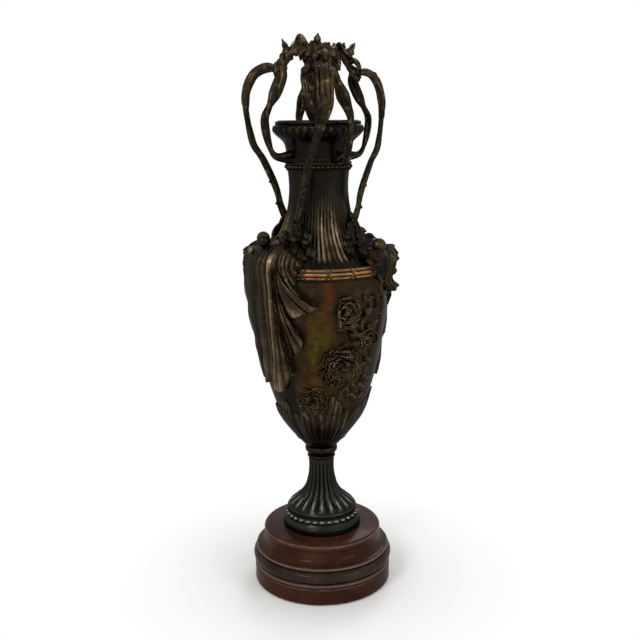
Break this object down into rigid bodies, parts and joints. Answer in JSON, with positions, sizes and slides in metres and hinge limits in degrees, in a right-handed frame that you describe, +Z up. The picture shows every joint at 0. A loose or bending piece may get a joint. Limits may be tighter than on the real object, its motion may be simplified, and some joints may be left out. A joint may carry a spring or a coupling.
{
  "type": "footed vase urn",
  "caption": "Footed metal vase urn on a turned base, with twisted stem handles that arch over the open mouth and meet in a leaf crown.",
  "frame": {"origin": "middle of the underside of the felt pad, on the urn's turning axis", "axes": "+Z up along the turning axis, the front of the urn faces -Y, and +X is to its right"},
  "size_m": [0.1564, 0.152, 0.5607],
  "materials": {
    "patinated_bronze": "dark green-brown patina, worn to copper on the high places",
    "patinated_foot": "greenish black patina",
    "copper_bronze": "worn copper gold",
    "coloured_patina": "olive, gold and orange coloured patina",
    "mahogany": "turned, stained red-brown, semi-gloss",
    "ebonised": "turned, stained black, semi-gloss",
    "felt": "baize",
    "steel": "plain"
  },
  "bodies": {
    "root": {"felt_pad": "felt", "base_plinth": "mahogany", "base_torus": "ebonised", "base_socle": "mahogany", "foot_skirt": "patinated_foot", "foot_bead_ring": "patinated_foot", "foot_trumpet": "patinated_foot", "knop": "patinated_bronze", "body_shell": "patinated_bronze", "reed_band": "copper_bronze", "shoulder_shell": "patinated_bronze", "beaded_collar": "patinated_bronze", "lip_neck": "patinated_bronze", "acanthus_calyx": "patinated_bronze", "acanthus_leaf_front": "patinated_bronze", "acanthus_leaf_back": "patinated_bronze", "scroll_leaf_front": "patinated_bronze", "scroll_leaf_back": "patinated_bronze", "flower_panel_front": "coloured_patina", "flower_panel_back": "coloured_patina", "outer_stem_front": "patinated_bronze", "outer_stem_right": "patinated_bronze", "outer_stem_back": "patinated_bronze", "outer_stem_left": "patinated_bronze", "inner_stem_front": "patinated_bronze", "inner_stem_right": "patinated_bronze", "inner_stem_back": "patinated_bronze", "inner_stem_left": "patinated_bronze", "foot_rosette_front": "patinated_bronze", "foot_rosette_right": "patinated_bronze", "foot_rosette_back": "patinated_bronze", "foot_rosette_left": "patinated_bronze", "handle_screw_front": "steel", "handle_screw_right": "steel", "handle_screw_back": "steel", "handle_screw_left": "steel", "crown_hub": "patinated_bronze", "crown_leaf_front": "patinated_bronze", "crown_leaf_right": "patinated_bronze", "crown_leaf_back": "patinated_bronze", "crown_leaf_left": "patinated_bronze", "tie_rod": "steel", "rod_washer_lower": "steel", "rod_nut_lower": "steel", "rod_washer_upper": "steel", "rod_nut_upper": "steel"}
  },
  "joints": []
}
